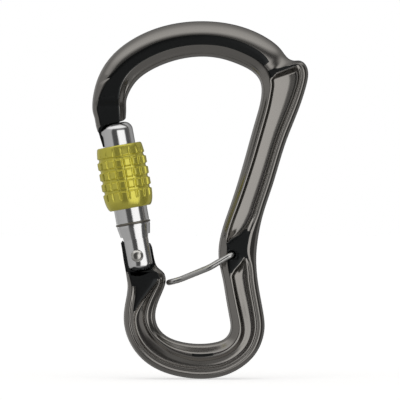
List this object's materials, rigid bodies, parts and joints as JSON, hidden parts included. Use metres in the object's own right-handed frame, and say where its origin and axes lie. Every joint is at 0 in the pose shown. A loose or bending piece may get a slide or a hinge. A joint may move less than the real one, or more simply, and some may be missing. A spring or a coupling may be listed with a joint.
{
  "type": "locking carabiner",
  "caption": "Screw-gate belay carabiner with a wide top basket, a spur, a pocketed spine, a small lower basket and a sprung wire loop that shuts the lower basket off.",
  "frame": {"origin": "the seat of the wide basket: the highest point of the large opening, halfway through the thickness", "axes": "+X from the gate towards the spine, +Y along the gate's rivet, +Z from the lower basket up to the wide basket"},
  "size_m": [0.0729, 0.0168, 0.1207],
  "materials": {
    "frame_anodised": "dark grey anodised, glossy on the rounds, satin on the forged faces",
    "gate_polished": "turned and polished, clear anodised",
    "rivet_steel": "satin steel",
    "spring_steel": "drawn spring steel",
    "ring_steel": "dark spring wire",
    "sleeve_anodised": "yellow-green anodised, satin",
    "bar_steel": "bright drawn wire"
  },
  "bodies": {
    "frame": {"frame": "frame_anodised"},
    "gate": {"gate": "gate_polished", "gate_rivet": "rivet_steel", "gate_spring": "spring_steel"},
    "plunger": {"spring_plunger": "spring_steel"},
    "ring": {"retaining_ring": "ring_steel"},
    "sleeve": {"locking_sleeve": "sleeve_anodised"},
    "belay_bar": {"belay_bar": "bar_steel"}
  },
  "joints": [
    {"name": "gate_swing", "type": "hinge", "parent": "frame", "child": "gate", "pos_m": [-0.02198, 0, -0.06715], "axis": [0, 1, 0], "range_deg": [0, 33], "stiffness_Nm_per_rad": 0.1, "springref_deg": -57.3},
    {"name": "plunger_slide", "type": "slide", "parent": "gate", "child": "plunger", "axis": [-0.1788, 0, 0.9839], "range_m": [0, 0.00104], "deforming": ["gate_spring"]},
    {"name": "sleeve_turn", "type": "hinge", "parent": "gate", "child": "ring", "pos_m": [-0.02144, 0, -0.06705], "axis": [-0.1788, 0, 0.9839], "range_deg": [-324, 756]},
    {"name": "sleeve_slide", "type": "slide", "parent": "ring", "child": "sleeve", "axis": [-0.1788, 0, 0.9839], "range_m": [-0.0045, 0.0105]},
    {"name": "belay_bar_swing", "type": "hinge", "parent": "frame", "child": "belay_bar", "pos_m": [0.00983, 0, -0.06671], "axis": [0, -1, 0], "range_deg": [0, 42], "stiffness_Nm_per_rad": 0.01, "springref_deg": -17.19}
  ],
  "couplings": [
    {"joint": "plunger_slide", "follows": "gate_swing", "m_per_rad": 0.0018},
    {"joint": "sleeve_slide", "follows": "sleeve_turn", "m_per_rad": 0.00079577}
  ]
}
